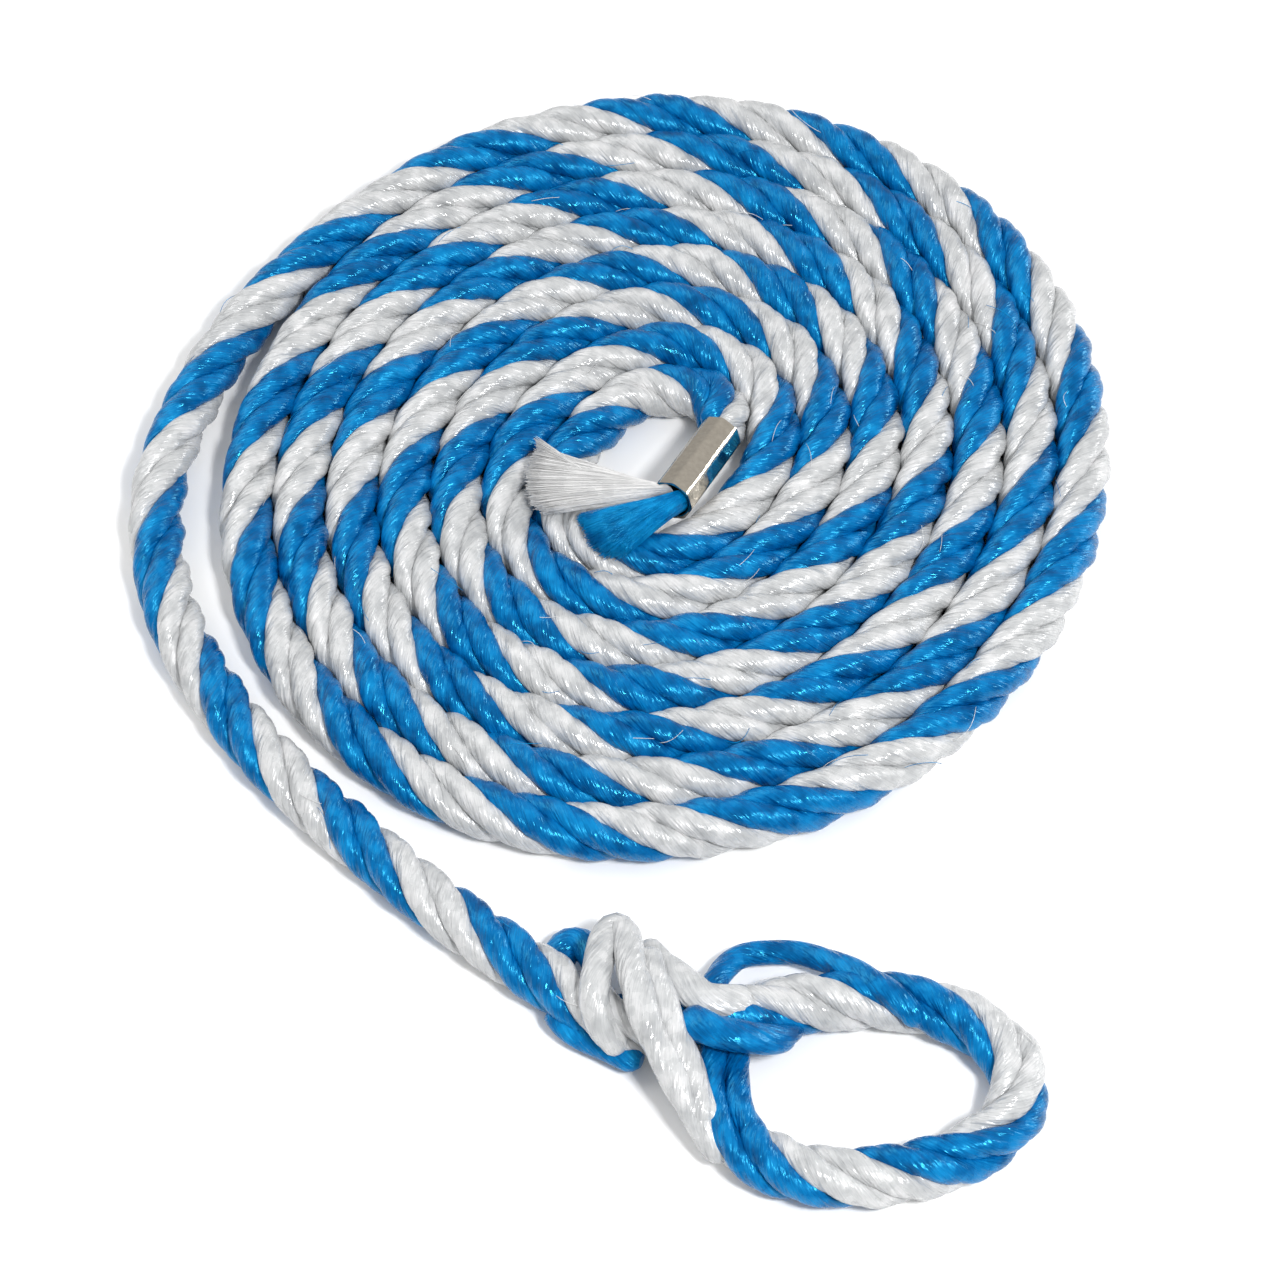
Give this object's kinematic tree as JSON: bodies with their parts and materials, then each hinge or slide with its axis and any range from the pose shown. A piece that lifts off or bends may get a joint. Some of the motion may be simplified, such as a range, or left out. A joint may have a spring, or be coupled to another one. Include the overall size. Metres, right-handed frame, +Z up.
{
  "type": "coiled dock line",
  "caption": "Four-strand laid blue and white polypropylene line in a flat spiral coil, with a spliced soft eye on one end and a crimped ferrule and brushed tuft on the other.",
  "frame": {"origin": "centre of the bounding box at the plane the line lies on", "axes": "+Z up off the plane it lies on, +Y along the longest extent from the soft eye towards the coil, +X across"},
  "size_m": [0.2138, 0.2832, 0.0189],
  "materials": {
    "laid_rope": "blue and white glossy polypropylene yarn, right-hand laid",
    "blue_strand": "glossy bright blue polypropylene yarn",
    "white_strand": "glossy white polypropylene yarn",
    "plated_metal": "bright plated, crimped flats"
  },
  "bodies": {
    "root": {"rope_coil": "laid_rope", "rope_tail": "laid_rope", "rope_eye": "laid_rope", "rope_inner_end": "laid_rope", "ferrule": "plated_metal", "white_fibre_tuft": "white_strand", "white_strand_bight": "white_strand", "white_strand_throat": "white_strand", "white_strand_tuck": "white_strand", "blue_fibre_tuft": "blue_strand", "blue_strand_loop": "blue_strand", "blue_strand_stub": "blue_strand", "blue_strand_end": "blue_strand", "blue_strand_crossing": "blue_strand"}
  },
  "joints": []
}
